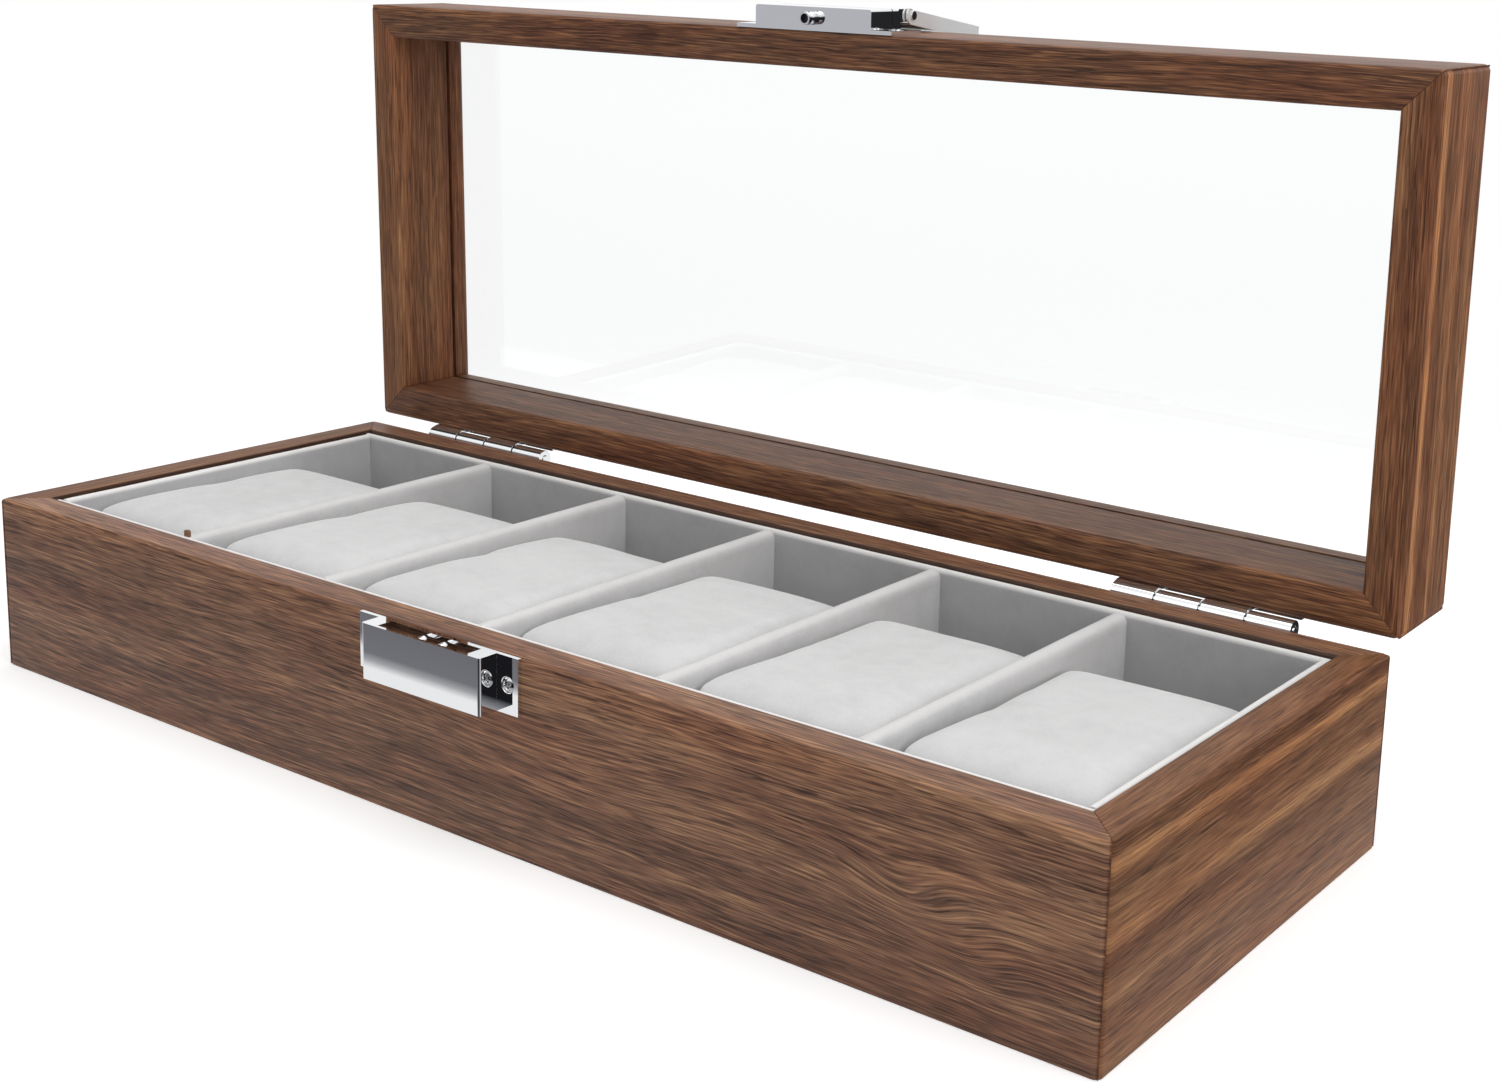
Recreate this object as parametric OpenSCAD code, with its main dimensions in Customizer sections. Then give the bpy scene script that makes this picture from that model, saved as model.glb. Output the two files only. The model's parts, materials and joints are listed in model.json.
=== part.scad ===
// Six-slot watch box: mitred case, glazed lid on two butt hinges, cover latch, six lift-out pillows.
// X runs along the box, -Y is the front, +Z is up. The origin is the centre of the underside.
// The lid is drawn closed and then turned back to its stop, so every lid size reads as closed.

/* [Case] */
// Length of the box along X
case_length = 320; // [260:1:400]
// Depth of the box from front to back
case_depth = 121; // [105:1:170]
// Height of the lower case
base_height = 44; // [38:0.5:70]
// Thickness of the side boards of case and lid
wall = 9; // [7:0.5:14]
// Rounding of the four upright corners
corner_radius = 1.5; // [0.5:0.1:3]
// Rounding of the board edges at the rims
edge_radius = 0.9; // [0.3:0.1:1.5]
// Thickness of the bottom panel
bottom_thickness = 4; // [3:0.5:6]
// How far the bottom panel reaches into the boards
rabbet_depth = 4; // [2:0.5:5]

/* [Lid] */
// Height of the lid
lid_height = 28.6; // [24:0.1:45]
// Gap between the rims when the lid is shut
seam_gap = 0.3; // [0.1:0.1:1]
// Angle at which the lid stands open
open_angle = 89; // [60:1:100]
// Rounding of the outer top edges of the lid
lid_round = 2.5; // [1:0.1:3]
// Rounding of the inner edge in front of the pane
bezel_round = 3.2; // [1:0.1:3.5]
// Thickness of the glass pane
glass_thickness = 1.6; // [1.2:0.1:3]
// Distance from the rim to the pane
glass_setback = 20; // [16:0.5:22]
// Depth of the groove that holds the pane
glass_bite = 4; // [2:0.5:5]
// Play of the pane in its groove, each side
glass_play = 0.15; // [0.1:0.05:0.3]

/* [Lining and slots] */
// Thickness of the velvet-covered lining boards
lining_thickness = 2.4; // [1.5:0.1:4]
// How far the lining stays below the rim
lining_drop = 0.7; // [0.3:0.1:3]
// Thickness of the floor lining
floor_lining_thickness = 1.5; // [1:0.1:3]
// Thickness of a divider
divider_thickness = 4.5; // [3:0.1:6]
// How far a divider stays below the lining
divider_drop = 0.3; // [0:0.1:2]
// Rounding of the lining and divider tops
velvet_round = 1; // [0.5:0.1:1.2]

/* [Pillows] */
// Length of a pillow from front to back
pillow_length = 73; // [50:1:80]
// Height of a pillow
pillow_height = 36; // [26:0.5:38]
// Rounding of the pillow ends
pillow_round = 10; // [6:0.5:12]
// Play beside and before a pillow
pillow_play = 0.5; // [0.3:0.1:2]

/* [Hinges] */
// Length of a hinge
hinge_length = 45.5; // [36:0.5:60]
// Distance from the end of the box to the middle of a hinge
hinge_inset = 45.8; // [36:0.1:60]
// Radius of the hinge barrel
barrel_radius = 2.4; // [2:0.1:2.6]
// Distance from the back of the box to the hinge axis
axis_offset = 2.7; // [2.7:0.1:3.2]
// How far the hinge axis lies below the rim of the lower case
axis_drop = 0.8; // [0:0.1:1.5]
// Radius of the hinge pins
hinge_pin_radius = 1; // [0.8:0.1:1.2]
// Thickness of the hinge leaves
leaf_thickness = 1; // [0.8:0.1:1.2]
// Width of a leaf, measured from the hinge axis
leaf_width = 14; // [12:0.5:20]
// Distance between the screws of a leaf
leaf_screw_pitch = 15; // [12:0.5:17]
// Gap between the knuckles, and round them
knuckle_gap = 0.4; // [0.3:0.1:0.6]

/* [Latch] */
// Width of the latch blocks
latch_width = 35.4; // [28:0.1:50]
// Width of the latch flanges
flange_width = 47.5; // [46:0.5:70]
// Height of each latch block
block_height = 12.4; // [11:0.1:16]
// How far the latch blocks stand out from the box
block_depth = 5.8; // [5:0.1:8]
// Thickness of the latch flanges
flange_thickness = 1; // [0.8:0.1:1.5]
// Wall thickness of the keeper, the lower latch block
keeper_wall = 0.8; // [0.6:0.1:1.2]
// Length of the slot in the top of the keeper
slot_length = 27; // [15:0.5:28]
// Width of the slot in the top of the keeper
slot_width = 3.8; // [3.5:0.1:3.9]
// Radius of the stud that enters the slot
stud_radius = 1.6; // [1:0.1:1.7]
// How far the stud stands out from the upper block
stud_length = 3.2; // [3:0.1:5]
// Thickness of the spring clip
clip_thickness = 0.45; // [0.3:0.05:0.5]
// Outer radius of the curls of the clip
clip_curl = 1.2; // [1.1:0.1:1.5]

/* [Latch cover] */
// Height of the cover axis above the lid rim
cover_axis_height = 16.5; // [15:0.1:20]
// Distance from the lid front to the cover axis
cover_axis_offset = 4.2; // [4:0.1:5]
// Radius of the hinge bar on the upper block
bar_radius = 1.6; // [1.4:0.1:1.6]
// Radius of the cover pin
cover_pin_radius = 0.8; // [0.6:0.1:0.9]
// Sheet thickness of the cover
cover_sheet = 0.5; // [0.4:0.1:0.8]
// Depth of the cover skirts
skirt_depth = 3.6; // [3:0.1:3.8]
// Play between the cover and the blocks
cover_play = 0.2; // [0.15:0.05:0.3]
// How far the cover droops past flat when it is thrown back
cover_droop = 9; // [5:0.5:10]

/* [Screws] */
// Radius of the screw heads
head_radius = 1.9; // [1.6:0.1:2.1]
// Radius of the screw shanks
shank_radius = 1.1; // [0.9:0.1:1.2]
// Length of the screw shanks
shank_length = 5.5; // [4:0.5:6]

/* [Hidden] */
$fn = 48;

wood_colour = [0.42, 0.28, 0.21];
raw_board_colour = [0.66, 0.52, 0.38];
velvet_colour = [0.80, 0.80, 0.80];
chrome_colour = [0.78, 0.79, 0.81];
glass_colour = [0.85, 0.92, 0.92, 0.35];

slot_count = 6;
cut = 1;                      // overshoot of a cutter past the face that it opens
hole_play = 0.05;             // radial play of pins and screws in their holes

half_length = case_length / 2;
half_depth = case_depth / 2;
seam_z = base_height + seam_gap;
hinge_y = half_depth + axis_offset;
hinge_z = base_height - axis_drop;
hinge_x = half_length - hinge_inset;

inner_length = case_length - 2 * wall;
inner_depth = case_depth - 2 * wall;
floor_z = bottom_thickness + floor_lining_thickness;
lining_top = base_height - lining_drop;
divider_top = lining_top - divider_drop;
slot_room = inner_length - 2 * lining_thickness;
slot_depth = inner_depth - 2 * lining_thickness;
slot_pitch = (slot_room + divider_thickness) / slot_count;
pillow_width = slot_pitch - divider_thickness - 2 * pillow_play;

knuckle_count = 4;
knuckle_pitch = hinge_length / knuckle_count;
barrel_clear = barrel_radius + knuckle_gap;
leaf_screw_drop = (leaf_width + barrel_clear) / 2;
head_height = 1.2;
head_dome = 0.35;
recess_width = 0.7;

flange_screw_x = (flange_width + latch_width) / 4;
clip_x = stud_radius + 0.3 + clip_curl;
clip_z = -stud_length + clip_curl;
clip_width = slot_width - 0.8;
slot_centre = block_depth - keeper_wall - slot_width / 2;
cover_inner = block_depth + cover_play;
cover_outer = cover_inner + cover_sheet;
skirt_inner_x = latch_width / 2 + cover_play + 0.1;
skirt_edge = cover_outer - skirt_depth;
cover_end = block_height + seam_gap + 3 * cover_play;
cover_round = cover_outer - cover_axis_offset;

// ---- shared shapes ----

// Corner waste of a rounded edge: the square at the origin less the disc that rounds it
module edge_waste(r) {
    difference() {
        translate([-cut, -cut]) square(r + cut);
        translate([r, r]) circle(r);
    }
}

// Rectangle from the origin whose four corners have their own radii: low-low, high-low, high-high, low-high
module rounded_profile(width, height, radii) {
    difference() {
        square([width, height]);
        edge_waste(radii[0]);
        translate([width, 0]) mirror([1, 0]) edge_waste(radii[1]);
        translate([width, height]) mirror([1, 0]) mirror([0, 1]) edge_waste(radii[2]);
        translate([0, height]) mirror([0, 1]) edge_waste(radii[3]);
    }
}

// Plan of one mitred board: outer face at y = 0, running inwards, with rounded outer corners
module mitre_plan(run) {
    intersection() {
        polygon([[-run / 2, 0], [run / 2, 0], [run / 2 - wall, wall], [wall - run / 2, wall]]);
        translate([-run / 2, 0]) rounded_profile(run, 4 * wall, [corner_radius, corner_radius, 0.1, 0.1]);
    }
}

// One mitred board: its section (inwards, up) follows the run, and its plan cuts the mitres
module mitred_board(run, height) {
    intersection() {
        rotate([90, 0, 90]) translate([0, 0, -run / 2]) linear_extrude(run) children();
        linear_extrude(height) mitre_plan(run);
    }
}

// Places a board built along X on one of the four sides
module on_front() translate([0, -half_depth, 0]) children();
module on_back() rotate([0, 0, 180]) translate([0, -half_depth, 0]) children();
module on_left() rotate([0, 0, -90]) translate([0, -half_length, 0]) children();
module on_right() rotate([0, 0, 90]) translate([0, -half_length, 0]) children();

// Turns what is drawn for the shut lid back to its stop
module open_lid() {
    translate([0, hinge_y, hinge_z]) rotate([-open_angle, 0, 0]) translate([0, -hinge_y, -hinge_z]) children();
}

// Countersunk cross-head screw: head face at z = 0, shank down -Z
module screw() {
    difference() {
        union() {
            translate([0, 0, -head_height]) cylinder(h = head_height, r1 = shank_radius, r2 = head_radius);
            cylinder(h = head_dome, r1 = head_radius, r2 = head_radius - head_dome);
            translate([0, 0, -shank_length]) cylinder(h = shank_length, r = shank_radius);
        }
        for (turn = [0, 90])
            rotate([0, 0, turn]) translate([-head_radius * 0.6, -recess_width / 2, -head_dome])
                cube([head_radius * 1.2, recess_width, 2 * head_dome + cut]);
    }
}

// Room for a screw, with the same play all round
module screw_room() {
    translate([0, 0, -head_height - hole_play])
        cylinder(h = head_height + 2 * hole_play, r1 = shank_radius, r2 = head_radius + hole_play);
    translate([0, 0, -shank_length - hole_play])
        cylinder(h = shank_length, r = shank_radius + hole_play);
}

// ---- lower case ----

module base_section() {
    difference() {
        rounded_profile(wall, base_height, [0.3, 0.1, edge_radius, edge_radius]);
        translate([wall - rabbet_depth, -cut]) square([rabbet_depth + cut, bottom_thickness + cut]);
    }
}

module base_front_board() {
    color(wood_colour) difference() {
        on_front() mitred_board(case_length, base_height) base_section();
        keeper_screw_places() screw_room();
    }
}

module base_back_board() {
    color(wood_colour) difference() {
        on_back() mitred_board(case_length, base_height) base_section();
        for (side = [-1, 1]) base_leaf_screw_places(side) screw_room();
    }
}

module base_left_board() {
    color(wood_colour) on_left() mitred_board(case_depth, base_height) base_section();
}

module base_right_board() {
    color(wood_colour) on_right() mitred_board(case_depth, base_height) base_section();
}

module bottom_panel() {
    length = inner_length + 2 * rabbet_depth;
    depth = inner_depth + 2 * rabbet_depth;
    color(raw_board_colour) translate([-length / 2, -depth / 2, 0]) cube([length, depth, bottom_thickness]);
}

// ---- lining ----

// One lining board along X, standing on the bottom panel, its face towards -Y of its wall
module lining_board(run) {
    rotate([90, 0, 90]) translate([0, bottom_thickness, -run / 2]) linear_extrude(run)
        rounded_profile(lining_thickness, lining_top - bottom_thickness, [0.1, 0.1, velvet_round, velvet_round]);
}

module front_lining() {
    color(velvet_colour) translate([0, -inner_depth / 2, 0]) lining_board(inner_length);
}

module back_lining() {
    color(velvet_colour) translate([0, inner_depth / 2 - lining_thickness, 0]) lining_board(inner_length);
}

module left_lining() {
    color(velvet_colour) rotate([0, 0, -90]) translate([0, -inner_length / 2, 0]) lining_board(slot_depth);
}

module right_lining() {
    color(velvet_colour) rotate([0, 0, 90]) translate([0, -inner_length / 2, 0]) lining_board(slot_depth);
}

module floor_lining() {
    color(velvet_colour) translate([-slot_room / 2, -slot_depth / 2, bottom_thickness])
        cube([slot_room, slot_depth, floor_lining_thickness]);
}

// ---- dividers and pillows ----

// Divider number i, counted from the left
module divider(i) {
    x = -slot_room / 2 - divider_thickness / 2 + i * slot_pitch;
    color(velvet_colour) translate([x - divider_thickness / 2, slot_depth / 2, floor_z]) rotate([90, 0, 0])
        linear_extrude(slot_depth)
            rounded_profile(divider_thickness, divider_top - floor_z, [0.1, 0.1, velvet_round, velvet_round]);
}

// Pillow number i, counted from the left, pushed to the front of its slot
module pillow(i) {
    x = -slot_room / 2 + (i - 1) * slot_pitch + pillow_play;
    radii = [pillow_round, pillow_round, pillow_round, pillow_round];
    color(velvet_colour) translate([x, pillow_play - slot_depth / 2, floor_z]) rotate([90, 0, 90])
        linear_extrude(pillow_width) rounded_profile(pillow_length, pillow_height, radii);
}

// ---- lid ----

module lid_section() {
    groove = glass_thickness + 2 * glass_play;
    difference() {
        rounded_profile(wall, lid_height, [edge_radius, edge_radius, bezel_round, lid_round]);
        translate([wall - glass_bite, glass_setback]) square([glass_bite + cut, groove]);
    }
}

module lid_front_rail() {
    color(wood_colour) open_lid() difference() {
        translate([0, 0, seam_z]) on_front() mitred_board(case_length, lid_height) lid_section();
        latch_screw_places() screw_room();
    }
}

module lid_back_rail() {
    color(wood_colour) open_lid() difference() {
        translate([0, 0, seam_z]) on_back() mitred_board(case_length, lid_height) lid_section();
        for (side = [-1, 1]) lid_leaf_screw_places(side) screw_room();
    }
}

module lid_left_rail() {
    color(wood_colour) open_lid() translate([0, 0, seam_z]) on_left()
        mitred_board(case_depth, lid_height) lid_section();
}

module lid_right_rail() {
    color(wood_colour) open_lid() translate([0, 0, seam_z]) on_right()
        mitred_board(case_depth, lid_height) lid_section();
}

module lid_glass() {
    length = inner_length + 2 * (glass_bite - glass_play);
    depth = inner_depth + 2 * (glass_bite - glass_play);
    color(glass_colour) open_lid()
        translate([-length / 2, -depth / 2, seam_z + glass_setback + glass_play])
            cube([length, depth, glass_thickness]);
}

// ---- hinges: side is -1 for the left one and 1 for the right one ----

// Knuckles of one leaf: every second one, from the first or the second
module knuckles(first) {
    for (k = [first : 2 : knuckle_count - 1])
        translate([k * knuckle_pitch - hinge_length / 2 + knuckle_gap / 4, 0, 0]) children();
}

// Leaf hanging down -Z from an axis along X, its back at y = -axis_offset
module leaf(first) {
    knuckle_length = knuckle_pitch - knuckle_gap / 2;
    difference() {
        union() {
            translate([-hinge_length / 2, -axis_offset, -leaf_width])
                cube([hinge_length, leaf_thickness, leaf_width - barrel_clear]);
            knuckles(first) {
                translate([0, -axis_offset, -barrel_clear]) cube([knuckle_length, leaf_thickness, barrel_clear]);
                translate([0, -axis_offset, -barrel_radius * 0.6])
                    cube([knuckle_length, axis_offset, barrel_radius * 0.6]);
                rotate([0, 90, 0]) cylinder(h = knuckle_length, r = barrel_radius);
            }
        }
        translate([-hinge_length / 2 - cut, 0, 0]) rotate([0, 90, 0])
            cylinder(h = hinge_length + 2 * cut, r = hinge_pin_radius + hole_play);
        leaf_screw_places() screw_room();
    }
}

// Screws of a leaf in the leaf's own frame
module leaf_screw_places() {
    for (x = [-leaf_screw_pitch, 0, leaf_screw_pitch])
        translate([x, leaf_thickness - axis_offset, -leaf_screw_drop]) rotate([-90, 0, 0]) children();
}

module at_hinge(side) translate([side * hinge_x, hinge_y, hinge_z]) children();

// The lid leaf is the base leaf mirrored about the axis
module at_lid_leaf(side) at_hinge(side) mirror([0, 0, 1]) children();

module base_leaf_screw_places(side) at_hinge(side) leaf_screw_places() children();
module lid_leaf_screw_places(side) at_lid_leaf(side) leaf_screw_places() children();

module hinge_base_leaf(side) {
    color(chrome_colour) at_hinge(side) leaf(1);
}

module hinge_lid_leaf(side) {
    color(chrome_colour) open_lid() at_lid_leaf(side) leaf(0);
}

module hinge_pin(side) {
    color(chrome_colour) at_hinge(side) translate([-hinge_length / 2, 0, 0]) rotate([0, 90, 0])
        cylinder(h = hinge_length, r = hinge_pin_radius);
}

module hinge_base_screws(side) {
    color(chrome_colour) base_leaf_screw_places(side) screw();
}

module hinge_lid_screws(side) {
    color(chrome_colour) open_lid() lid_leaf_screw_places(side) screw();
}

// ---- latch: each half is drawn with its wood face at y = 0 and its mating face at z = 0 ----

module at_keeper() translate([0, -half_depth, base_height]) children();
module at_latch() translate([0, -half_depth, seam_z]) children();

// Flange and block of either half, standing out towards -Y over the heights z0 to z0 + block_height
module latch_body(z0) {
    translate([-flange_width / 2, -flange_thickness, z0]) cube([flange_width, flange_thickness, block_height]);
    translate([-latch_width / 2, -block_depth, z0]) linear_extrude(block_height)
        rounded_profile(latch_width, block_depth, [0.6, 0.6, 0.1, 0.1]);
}

module flange_screw_places(z) {
    for (side = [-1, 1])
        translate([side * flange_screw_x, -flange_thickness, z]) rotate([90, 0, 0]) children();
}

module keeper_screw_places() at_keeper() flange_screw_places(-block_height / 2) children();
module latch_screw_places() at_latch() flange_screw_places(block_height / 2) children();

// Lower half: a hollow block with a slot in its top
module keeper_housing() {
    room_width = slot_length + 4 * keeper_wall;
    room_height = block_height - 2 * keeper_wall;
    color(chrome_colour) at_keeper() difference() {
        latch_body(-block_height);
        translate([-room_width / 2, keeper_wall - block_depth, keeper_wall - block_height])
            cube([room_width, block_depth - keeper_wall + cut, room_height]);
        translate([-slot_length / 2, keeper_wall - block_depth, -keeper_wall - cut])
            cube([slot_length, slot_width, keeper_wall + 2 * cut]);
        flange_screw_places(-block_height / 2) screw_room();
    }
}

// Half of the clip in X and Z: foot, leg and the curl that grips the stud
module clip_half() {
    foot_z = keeper_wall - block_height;
    leg_x = clip_x + clip_curl - clip_thickness;
    difference() {
        translate([clip_x, clip_z]) circle(clip_curl);
        translate([clip_x, clip_z]) circle(clip_curl - clip_thickness);
        translate([clip_x - 2 * clip_curl, clip_z - 2 * clip_curl]) square([3 * clip_curl - clip_thickness, 1.6 * clip_curl]);
    }
    translate([leg_x, foot_z]) square([clip_thickness, clip_z - foot_z]);
    translate([0, foot_z]) square([leg_x + clip_thickness, clip_thickness]);
}

// Spring clip inside the keeper, standing on its bottom wall under the slot
module keeper_clip() {
    color(chrome_colour) at_keeper() translate([0, clip_width / 2 - slot_centre, 0]) rotate([90, 0, 0])
        linear_extrude(clip_width) {
            clip_half();
            mirror([1, 0]) clip_half();
        }
}

module keeper_screws() {
    color(chrome_colour) keeper_screw_places() screw();
}

// Upper half: a solid block with a hinge bar for the cover
module latch_housing() {
    bar_bottom = bar_radius - cover_axis_offset;
    groove_z = block_height * 0.7;
    groove_depth = 0.4;
    color(chrome_colour) open_lid() at_latch() difference() {
        union() {
            latch_body(0);
            translate([-latch_width / 2, -cover_axis_offset - bar_radius, block_height - cut])
                cube([latch_width, 2 * bar_radius, cover_axis_height - block_height + cut]);
            translate([-latch_width / 2, -cover_axis_offset, cover_axis_height]) rotate([0, 90, 0])
                cylinder(h = latch_width, r = bar_radius);
        }
        translate([-latch_width, -block_depth - cut, groove_z])
            cube([2 * latch_width, groove_depth + cut, groove_depth]);
        for (side = [-1, 1])
            translate([side * latch_width / 2 - groove_depth, -block_depth - cut, groove_z])
                cube([2 * groove_depth, block_depth - flange_thickness, groove_depth]);
        translate([-latch_width, -cover_axis_offset, cover_axis_height]) rotate([0, 90, 0])
            cylinder(h = 2 * latch_width, r = cover_pin_radius + hole_play);
        translate([0, -slot_centre, -cut])
            cylinder(h = stud_length + cut + hole_play, r = stud_radius + hole_play);
        flange_screw_places(block_height / 2) screw_room();
    }
}

// Stud with a waist, set in the mating face of the upper block
module latch_stud() {
    waist = stud_radius - 0.35;
    bore = stud_radius * 0.7;
    bore_end = -stud_length * 0.66;
    color(chrome_colour) open_lid() at_latch() translate([0, -slot_centre, 0]) rotate_extrude()
        polygon([
            [0, stud_length], [stud_radius, stud_length], [stud_radius, -stud_length * 0.35],
            [waist, -stud_length * 0.45], [waist, -stud_length * 0.6], [stud_radius, -stud_length * 0.7],
            [stud_radius, -stud_length * 0.95], [stud_radius - 0.15, -stud_length], [bore, -stud_length],
            [bore, bore_end], [0, bore_end]
        ]);
}

module latch_screws() {
    color(chrome_colour) open_lid() latch_screw_places() screw();
}

module cover_pin() {
    head = 0.4;
    reach = skirt_inner_x + cover_sheet + hole_play;
    color(chrome_colour) open_lid() at_latch() translate([0, -cover_axis_offset, cover_axis_height])
        rotate([0, 90, 0]) {
            translate([0, 0, -reach]) cylinder(h = 2 * reach, r = cover_pin_radius);
            for (side = [-1, 1])
                translate([0, 0, side * reach - (1 - side) / 2 * head]) cylinder(h = head, r = cover_pin_radius * 1.4);
        }
}

// Side outline of a skirt of the shut cover, in depth and height, with its round end at the axis
module skirt_outline() {
    translate([-cover_outer, -cover_end - cover_sheet])
        rounded_profile(skirt_depth, cover_end + cover_sheet + cover_axis_height, [0.5, 0.5, 0.1, 0.1]);
    translate([-cover_axis_offset, cover_axis_height]) intersection() {
        circle(cover_round);
        translate([-cover_round, -cover_round]) square([cover_round + cover_axis_offset - skirt_edge, 2 * cover_round]);
    }
}

// Sheet-metal cover drawn shut, over both blocks
module shut_cover() {
    span = skirt_inner_x + cover_sheet;
    difference() {
        union() {
            for (x = [-span, skirt_inner_x])
                translate([x, 0, 0]) rotate([90, 0, 90]) linear_extrude(cover_sheet) skirt_outline();
            translate([-span, -cover_outer, -cover_end])
                cube([2 * span, cover_sheet, cover_end + cover_axis_height - 0.5]);
            translate([-span, -cover_outer, -cover_end - cover_sheet]) cube([2 * span, skirt_depth, cover_sheet]);
        }
        translate([-2 * span, -cover_axis_offset, cover_axis_height]) rotate([0, 90, 0])
            cylinder(h = 4 * span, r = cover_pin_radius + hole_play);
    }
}

module latch_cover() {
    color(chrome_colour) open_lid() at_latch() translate([0, -cover_axis_offset, cover_axis_height])
        rotate([-180 - cover_droop, 0, 0]) translate([0, cover_axis_offset, -cover_axis_height]) shut_cover();
}

// ---- output ----

base_front_board();
base_back_board();
base_left_board();
base_right_board();
bottom_panel();
front_lining();
back_lining();
left_lining();
right_lining();
floor_lining();
for (i = [1 : slot_count - 1]) divider(i);
for (i = [1 : slot_count]) pillow(i);
lid_front_rail();
lid_back_rail();
lid_left_rail();
lid_right_rail();
lid_glass();
hinge_base_leaf(-1);  // hinge_left_base_leaf
hinge_lid_leaf(-1);  // hinge_left_lid_leaf
hinge_pin(-1);  // hinge_left_pin
hinge_base_screws(-1);  // hinge_left_base_screws
hinge_lid_screws(-1);  // hinge_left_lid_screws
hinge_base_leaf(1);  // hinge_right_base_leaf
hinge_lid_leaf(1);  // hinge_right_lid_leaf
hinge_pin(1);  // hinge_right_pin
hinge_base_screws(1);  // hinge_right_base_screws
hinge_lid_screws(1);  // hinge_right_lid_screws
keeper_housing();
keeper_clip();
keeper_screws();
latch_housing();
latch_stud();
latch_screws();
cover_pin();
latch_cover();
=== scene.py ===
import json
import math
from functools import partial

import bmesh
import bpy
from mathutils import Matrix, Vector, noise


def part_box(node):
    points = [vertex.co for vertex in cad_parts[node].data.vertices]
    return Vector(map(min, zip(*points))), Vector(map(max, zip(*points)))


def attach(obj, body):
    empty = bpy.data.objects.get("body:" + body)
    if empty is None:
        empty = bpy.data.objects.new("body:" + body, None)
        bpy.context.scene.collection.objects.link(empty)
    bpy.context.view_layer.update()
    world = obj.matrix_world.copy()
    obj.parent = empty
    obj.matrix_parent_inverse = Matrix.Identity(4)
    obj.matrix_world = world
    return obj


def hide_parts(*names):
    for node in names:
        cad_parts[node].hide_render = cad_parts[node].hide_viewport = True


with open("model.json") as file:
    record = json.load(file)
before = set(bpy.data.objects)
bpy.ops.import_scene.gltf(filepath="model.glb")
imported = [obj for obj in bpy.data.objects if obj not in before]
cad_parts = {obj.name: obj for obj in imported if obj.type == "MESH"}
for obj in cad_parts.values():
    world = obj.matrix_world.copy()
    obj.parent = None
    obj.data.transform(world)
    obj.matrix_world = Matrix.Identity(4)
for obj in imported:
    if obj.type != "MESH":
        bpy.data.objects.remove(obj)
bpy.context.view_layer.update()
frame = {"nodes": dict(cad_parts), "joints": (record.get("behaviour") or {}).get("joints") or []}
mm = 0.001
weld = 0.001 * mm


# places taken from the frame

def nodeBox(name):
    low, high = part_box(name)
    return Vector(low), Vector(high)


lidHinge = next(joint for joint in frame["joints"] if joint["name"] == "lid_hinge")
lidPivot = Vector(lidHinge["pos_m"])
lidAngle = math.radians(lidHinge["range_deg"][0])
openLid = Matrix.Translation(lidPivot) @ Matrix.Rotation(lidAngle, 4, "X") @ Matrix.Translation(-lidPivot)
lidTurn = openLid.to_3x3()

case = {
    "length": nodeBox("base_right_board")[1].x - nodeBox("base_left_board")[0].x,
    "depth": nodeBox("base_back_board")[1].y - nodeBox("base_front_board")[0].y,
    "height": nodeBox("base_front_board")[1].z, "wall": 9 * mm, "cornerRound": 1.5 * mm, "edgeRound": 0.9 * mm,
    "footRound": 0.3 * mm, "rabbetDepth": 4 * mm, "bottomThickness": 4 * mm, "jointGroove": 0.12 * mm,
    "cornerSteps": 4, "runSteps": 16,
}
lid = {
    "height": 28.6 * mm, "seam": 0.3 * mm, "outerRound": 2.5 * mm, "bezelRound": 3.2 * mm, "grooveLow": 20 * mm,
    "grooveHigh": 21.9 * mm, "grooveDepth": 4 * mm,
}


# meshes and pieces

def linkObject(name, data):
    made = bpy.data.objects.new(name, data)
    bpy.context.scene.collection.objects.link(made)
    return made


def addPiece(name, mesh, body, slot, *nodeNames):
    # a finished piece rides on its body and stands for its CAD nodes
    piece = linkObject(name, mesh)
    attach(piece, body)
    if nodeNames:
        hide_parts(*nodeNames)
    return piece


def coat(mesh, material):
    mesh.materials.clear()
    mesh.materials.append(material)


def evaluatedMesh(piece):
    evaluated = piece.evaluated_get(bpy.context.evaluated_depsgraph_get())
    return bpy.data.meshes.new_from_object(evaluated)


def finishMesh(mesh, sharpAngle=35):
    bm = bmesh.new()
    bm.from_mesh(mesh)
    bmesh.ops.recalc_face_normals(bm, faces=bm.faces)
    bm.to_mesh(mesh)
    bm.free()
    mesh.shade_smooth()
    mesh.set_sharp_from_angle(angle=math.radians(sharpAngle))


def prismFaces(count):
    # the sides and the two ends of a solid between two outlines
    sides = [(i, (i + 1) % count, count + (i + 1) % count, count + i) for i in range(count)]
    return sides + [tuple(range(count)), tuple(range(count, 2 * count))]


def prismMesh(name, firstEnd, secondEnd, sharpAngle=35):
    mesh = bpy.data.meshes.new(name)
    mesh.from_pydata(firstEnd + secondEnd, [], prismFaces(len(firstEnd)))
    finishMesh(mesh, sharpAngle)
    return mesh


def addPrism(bm, firstEnd, secondEnd):
    corners = [bm.verts.new(point) for point in firstEnd + secondEnd]
    for face in prismFaces(len(firstEnd)):
        bm.faces.new([corners[index] for index in face])


def spanOf(points):
    columns = list(zip(*points))
    return Vector([min(column) for column in columns]), Vector([max(column) for column in columns])


def spreadFrom(first, neighbours, seen):
    # all that is reached from the first through neighbours not seen before
    members, border = [], [first]
    seen.add(first)
    while border:
        here = border.pop()
        members.append(here)
        for other in neighbours(here):
            if other not in seen:
                seen.add(other)
                border.append(other)
    return members


shading = {
    "leastNormal": 0.5, "sameFlat": 0.008, "flatWidth": 0.42 * mm, "flatReach": math.radians(60),
    "roundReach": math.radians(40),
}


def isSound(face):
    # a face without an area has no normal
    return face.normal.length > shading["leastNormal"]


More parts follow.
